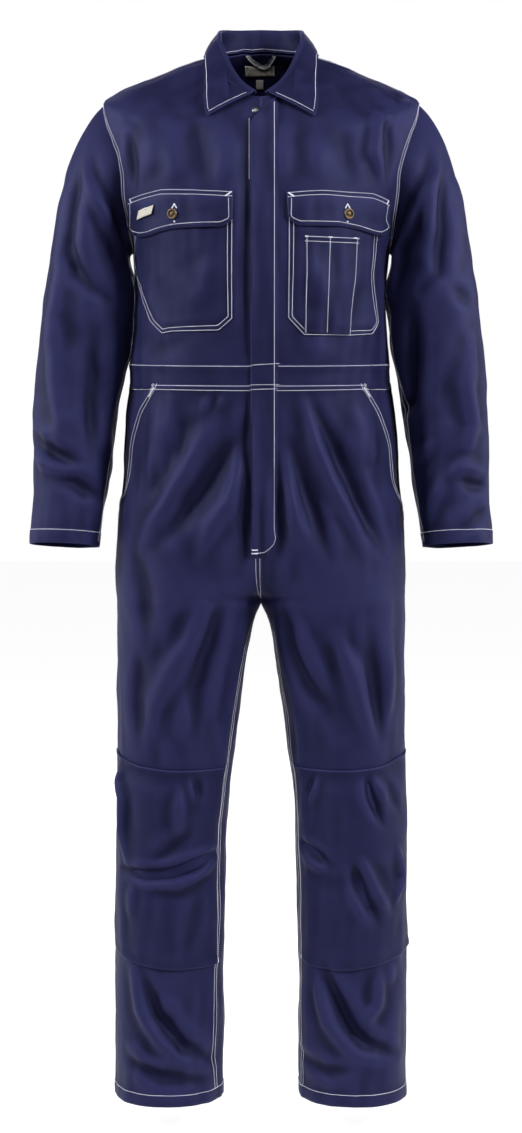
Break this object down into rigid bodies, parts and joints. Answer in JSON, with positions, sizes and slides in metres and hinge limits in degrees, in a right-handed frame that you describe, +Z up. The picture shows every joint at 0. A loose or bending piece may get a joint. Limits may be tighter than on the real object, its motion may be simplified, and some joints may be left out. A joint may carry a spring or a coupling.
{
  "type": "boiler suit",
  "caption": "Long-sleeved work coverall in navy twill with white top stitching, flapped chest pockets, covered front and knee pad pockets, shaped as worn and empty inside.",
  "frame": {"origin": "midway between the neck ends of the two shoulder seams, where the suit hangs on the wearer's shoulders", "axes": "+Z up towards the collar, +X towards the wearer's left, the front faces -Y"},
  "size_m": [0.6846, 0.2943, 1.6133],
  "materials": {
    "navy_twill": "matte twill weave",
    "antique_brass": "darkened, satin",
    "press_stud_metal": "satin",
    "pale_tab": "matte, woven",
    "white_thread": "matte sewing thread",
    "woven_loop": "matte, woven white with dark threads"
  },
  "bodies": {
    "root": {"bodice_front_left": "navy_twill", "bodice_front_right": "navy_twill", "bodice_back": "navy_twill", "waist_front_left": "navy_twill", "waist_front_right": "navy_twill", "waist_back": "navy_twill", "leg_front_left": "navy_twill", "leg_front_right": "navy_twill", "leg_back_left": "navy_twill", "leg_back_right": "navy_twill", "hip_facing_left": "navy_twill", "hip_facing_right": "navy_twill", "sleeve_left": "navy_twill", "sleeve_right": "navy_twill", "collar": "navy_twill", "placket": "navy_twill", "chest_pocket_left": "navy_twill", "chest_pocket_right": "navy_twill", "chest_flap_left": "navy_twill", "chest_flap_right": "navy_twill", "pen_pocket": "navy_twill", "knee_pocket_left": "navy_twill", "knee_pocket_right": "navy_twill", "flap_button_left": "antique_brass", "flap_button_right": "antique_brass", "press_stud": "press_stud_metal", "flap_tab": "pale_tab", "hanger_loop": "woven_loop", "neck_label": "pale_tab", "size_label": "pale_tab"}
  },
  "joints": []
}
